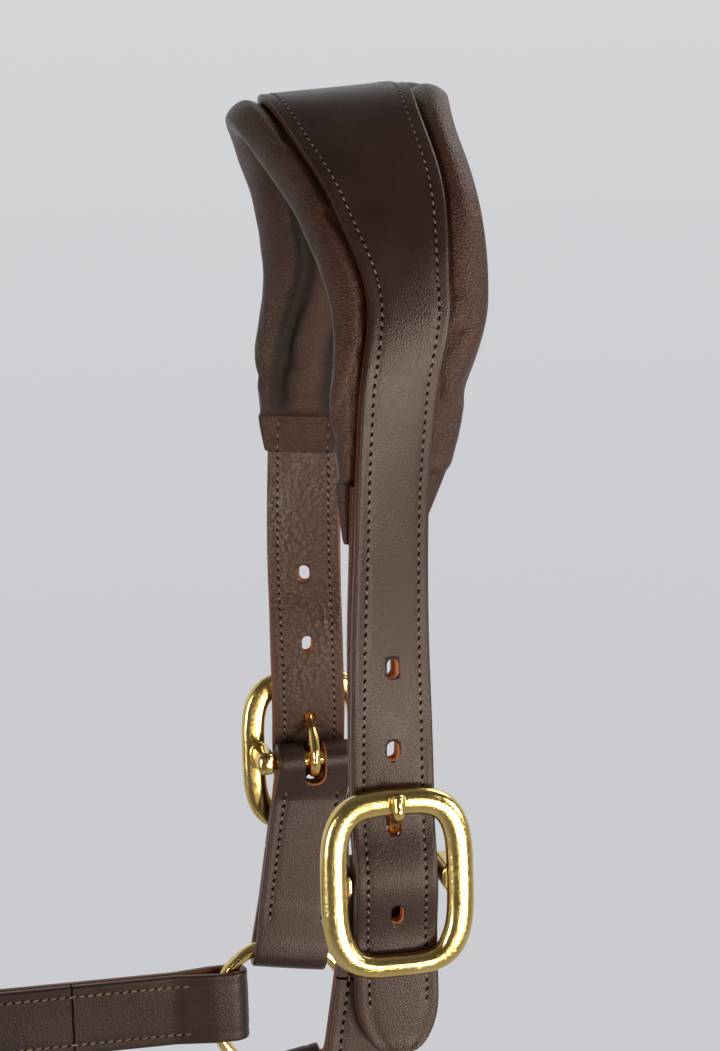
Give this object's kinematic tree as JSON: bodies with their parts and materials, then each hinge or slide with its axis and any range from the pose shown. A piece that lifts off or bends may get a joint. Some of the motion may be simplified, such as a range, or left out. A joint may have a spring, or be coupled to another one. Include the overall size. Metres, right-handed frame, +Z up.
{
  "type": "halter",
  "caption": "Leather horse halter with padded crown, buckled cheek billets, folded ring-joined straps, noseband and a rolled throat strap with a snap hook.",
  "frame": {"origin": "middle of the crown pad's underside, where it rests on the poll", "axes": "-X towards the horse's nose, -Y the horse's left side, +Z up"},
  "size_m": [0.3162, 0.1644, 0.4644],
  "materials": {
    "strap_leather": "dark brown bridle leather, waxed smooth",
    "lining_leather": "pebbled brown lining leather, matt",
    "pad_leather": "soft reddish-brown leather, fine wrinkles",
    "foam": "closed foam, unseen",
    "cord": "twisted cord, unseen",
    "brass": "solid cast brass, hand polished",
    "steel": "plain steel"
  },
  "bodies": {
    "crown": {"crown_strap": "strap_leather", "crown_lining_left": "lining_leather", "crown_lining_right": "lining_leather", "crown_pad_cover": "pad_leather", "crown_pad_core": "foam", "buckle_frame_left": "brass", "buckle_frame_right": "brass", "buckle_chape_left": "strap_leather", "buckle_chape_right": "strap_leather"},
    "tongue_left": {"buckle_tongue_left": "brass"},
    "tongue_right": {"buckle_tongue_right": "brass"},
    "ring_left": {"upper_ring_left": "brass"},
    "ring_right": {"upper_ring_right": "brass"},
    "throat": {"throat_strap": "strap_leather", "throat_core": "cord", "snap_eye": "brass"},
    "cheeks": {"cheek_strap_left": "strap_leather", "cheek_strap_right": "strap_leather"},
    "nose_ring_left_body": {"nose_ring_left": "brass"},
    "nose_ring_right_body": {"nose_ring_right": "brass"},
    "nose": {"noseband": "strap_leather", "noseband_lining": "lining_leather"},
    "chin": {"chin_strap_left": "strap_leather", "chin_strap_right": "strap_leather"},
    "chin_ring_body": {"chin_ring": "brass"},
    "jaw": {"jaw_strap": "strap_leather"},
    "snap": {"snap_body": "brass", "snap_gate_pin": "steel", "snap_spring": "steel"},
    "gate": {"snap_gate": "brass"}
  },
  "joints": [
    {"name": "tongue_lift_left", "type": "hinge", "parent": "crown", "child": "tongue_left", "pos_m": [0.003, -0.06401, -0.22061], "axis": [1, 0, 0], "range_deg": [0, 2]},
    {"name": "tongue_lift_right", "type": "hinge", "parent": "crown", "child": "tongue_right", "pos_m": [0.003, 0.06401, -0.22061], "axis": [-1, 0, 0], "range_deg": [0, 2]},
    {"name": "upper_ring_spin_left", "type": "hinge", "parent": "crown", "child": "ring_left", "pos_m": [-0.01102, -0.06466, -0.31211], "axis": [0, 1, 0], "continuous": true},
    {"name": "upper_ring_spin_right", "type": "hinge", "parent": "crown", "child": "ring_right", "pos_m": [-0.01102, 0.06466, -0.31211], "axis": [0, 1, 0], "continuous": true},
    {"name": "lower_swing", "type": "hinge", "parent": "crown", "child": "throat", "pos_m": [-0.01102, 0, -0.31211], "axis": [0, -1, 0], "range_deg": [-2, 45]},
    {"name": "cheek_fold", "type": "hinge", "parent": "throat", "child": "cheeks", "pos_m": [-0.01102, 0, -0.31211], "axis": [0, -1, 0], "range_deg": [-2, 8]},
    {"name": "nose_ring_spin_left", "type": "hinge", "parent": "cheeks", "child": "nose_ring_left_body", "pos_m": [-0.16102, -0.06466, -0.31211], "axis": [0, 1, 0], "continuous": true},
    {"name": "nose_ring_spin_right", "type": "hinge", "parent": "cheeks", "child": "nose_ring_right_body", "pos_m": [-0.16102, 0.06466, -0.31211], "axis": [0, 1, 0], "continuous": true},
    {"name": "noseband_tilt", "type": "hinge", "parent": "cheeks", "child": "nose", "pos_m": [-0.16102, 0, -0.31211], "axis": [0, -1, 0], "range_deg": [-8, 2]},
    {"name": "chin_swing", "type": "hinge", "parent": "cheeks", "child": "chin", "pos_m": [-0.16102, 0, -0.31211], "axis": [0, -1, 0], "range_deg": [-9, 3]},
    {"name": "chin_ring_spin", "type": "hinge", "parent": "chin", "child": "chin_ring_body", "pos_m": [-0.16102, 0, -0.44111], "axis": [0, 0, 1], "continuous": true},
    {"name": "jaw_swing", "type": "hinge", "parent": "throat", "child": "jaw", "pos_m": [0.01348, 0, -0.44111], "axis": [0, -1, 0], "range_deg": [-3, 9]},
    {"name": "snap_swivel", "type": "hinge", "parent": "throat", "child": "snap", "pos_m": [-0.00645, -0.06466, -0.33618], "axis": [0.1866, 0, -0.9824], "range_deg": [-8, 8]},
    {"name": "gate_open", "type": "hinge", "parent": "snap", "child": "gate", "pos_m": [-0.00256, -0.07176, -0.35662], "axis": [0.9824, 0, 0.1866], "range_deg": [0, 25], "stiffness_Nm_per_rad": 0.02, "springref_deg": -17.19}
  ],
  "couplings": [
    {"joint": "chin_swing", "follows": "cheek_fold", "ratio": -1},
    {"joint": "jaw_swing", "follows": "cheek_fold", "ratio": 1}
  ]
}
